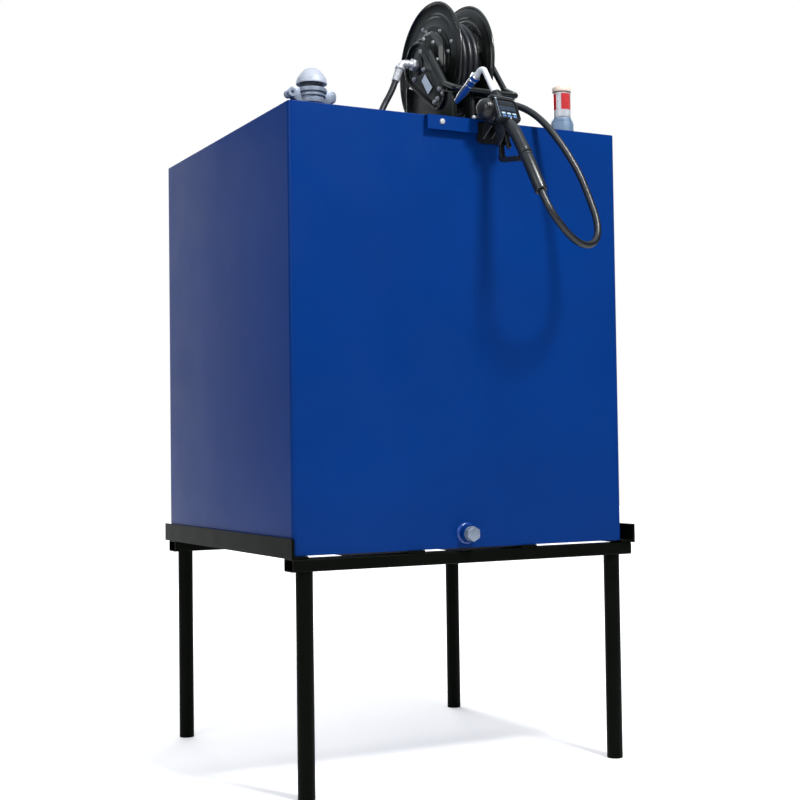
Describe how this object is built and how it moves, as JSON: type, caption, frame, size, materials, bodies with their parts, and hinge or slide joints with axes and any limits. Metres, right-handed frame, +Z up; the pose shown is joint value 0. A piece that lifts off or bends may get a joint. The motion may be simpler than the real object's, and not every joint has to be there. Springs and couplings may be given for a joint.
{
  "type": "single skin oil tank",
  "caption": "Free-standing single skin oil storage tank on pipe legs, with a vent, level gauge, drain, spring hose reel and metering dispensing gun.",
  "frame": {"origin": "on the floor, under the middle of the object's outline seen from above", "axes": "+Z up; -Y towards the side with the drain and the gun; +X to the right when facing that side"},
  "size_m": [1.1, 1.3018, 2.295],
  "materials": {
    "blue_paint": "satin",
    "black_paint": "satin",
    "reel_paint": "satin",
    "zinc": "satin",
    "aluminium": "satin",
    "chrome": "polished",
    "rubber": "satin",
    "black_plastic": "satin",
    "grey_plastic": "matt",
    "white_plastic": "gloss",
    "scale": "gloss",
    "clear": "clear"
  },
  "bodies": {
    "tank_and_stand": {"tank_front_wall": "blue_paint", "tank_rear_wall": "blue_paint", "tank_left_wall": "blue_paint", "tank_right_wall": "blue_paint", "tank_floor": "blue_paint", "tank_lid": "blue_paint", "stand_angle_left": "black_paint", "stand_angle_right": "black_paint", "cross_beam_front": "black_paint", "cross_beam_rear": "black_paint", "stand_bearer_left": "black_paint", "stand_bearer_right": "black_paint", "stand_leg_front_left": "black_paint", "stand_leg_front_right": "black_paint", "stand_leg_rear_left": "black_paint", "stand_leg_rear_right": "black_paint", "drain_socket": "blue_paint", "drain_plug": "grey_plastic", "fill_socket": "blue_paint", "vent_adapter": "aluminium", "vent_coupler": "aluminium", "vent_strainer": "aluminium", "vent_dome": "aluminium", "gauge_base": "grey_plastic", "gauge_tube": "clear", "gauge_scale": "scale", "gauge_cap": "white_plastic", "gun_bracket": "blue_paint", "reel_base": "reel_paint", "reel_arm_left": "reel_paint", "reel_arm_right": "reel_paint", "reel_shaft": "zinc", "reel_swivel": "zinc", "supply_hose": "rubber", "supply_tail": "zinc", "guide_frame": "reel_paint", "guide_rollers": "zinc", "guide_bar": "reel_paint", "gun_grip": "black_plastic", "trigger_guard": "black_plastic", "gun_meter": "black_plastic", "meter_cover": "black_plastic", "display_housing": "black_plastic", "gun_spout": "chrome", "nozzle_nut": "chrome", "gun_nozzle": "chrome", "hose_sleeve": "rubber", "delivery_hose": "rubber", "gun_holder": "black_plastic"},
    "hose_drum": {"reel_disc_left": "reel_paint", "reel_disc_right": "reel_paint", "reel_core": "reel_paint", "hose_pack": "rubber", "spring_case": "reel_paint"},
    "left_lever": {"cam_lever_left": "aluminium"},
    "right_lever": {"cam_lever_right": "aluminium"},
    "trigger": {"gun_trigger": "black_plastic"}
  },
  "joints": [
    {"name": "drum_spin", "type": "hinge", "parent": "tank_and_stand", "child": "hose_drum", "pos_m": [0.163, 0.0077, 2.095], "axis": [1, 0, 0], "continuous": true},
    {"name": "left_lever_swing", "type": "hinge", "parent": "tank_and_stand", "child": "left_lever", "pos_m": [-0.488, -0.2923, 1.884], "axis": [0, 1, 0], "range_deg": [0, 110]},
    {"name": "right_lever_swing", "type": "hinge", "parent": "tank_and_stand", "child": "right_lever", "pos_m": [-0.372, -0.2923, 1.884], "axis": [0, -1, 0], "range_deg": [0, 110]},
    {"name": "trigger_squeeze", "type": "hinge", "parent": "tank_and_stand", "child": "trigger", "pos_m": [0.07541, -0.47588, 1.79701], "axis": [-0.9903, -0.1392, 0], "range_deg": [0, 13], "stiffness_Nm_per_rad": 1, "springref_deg": -14.32}
  ]
}
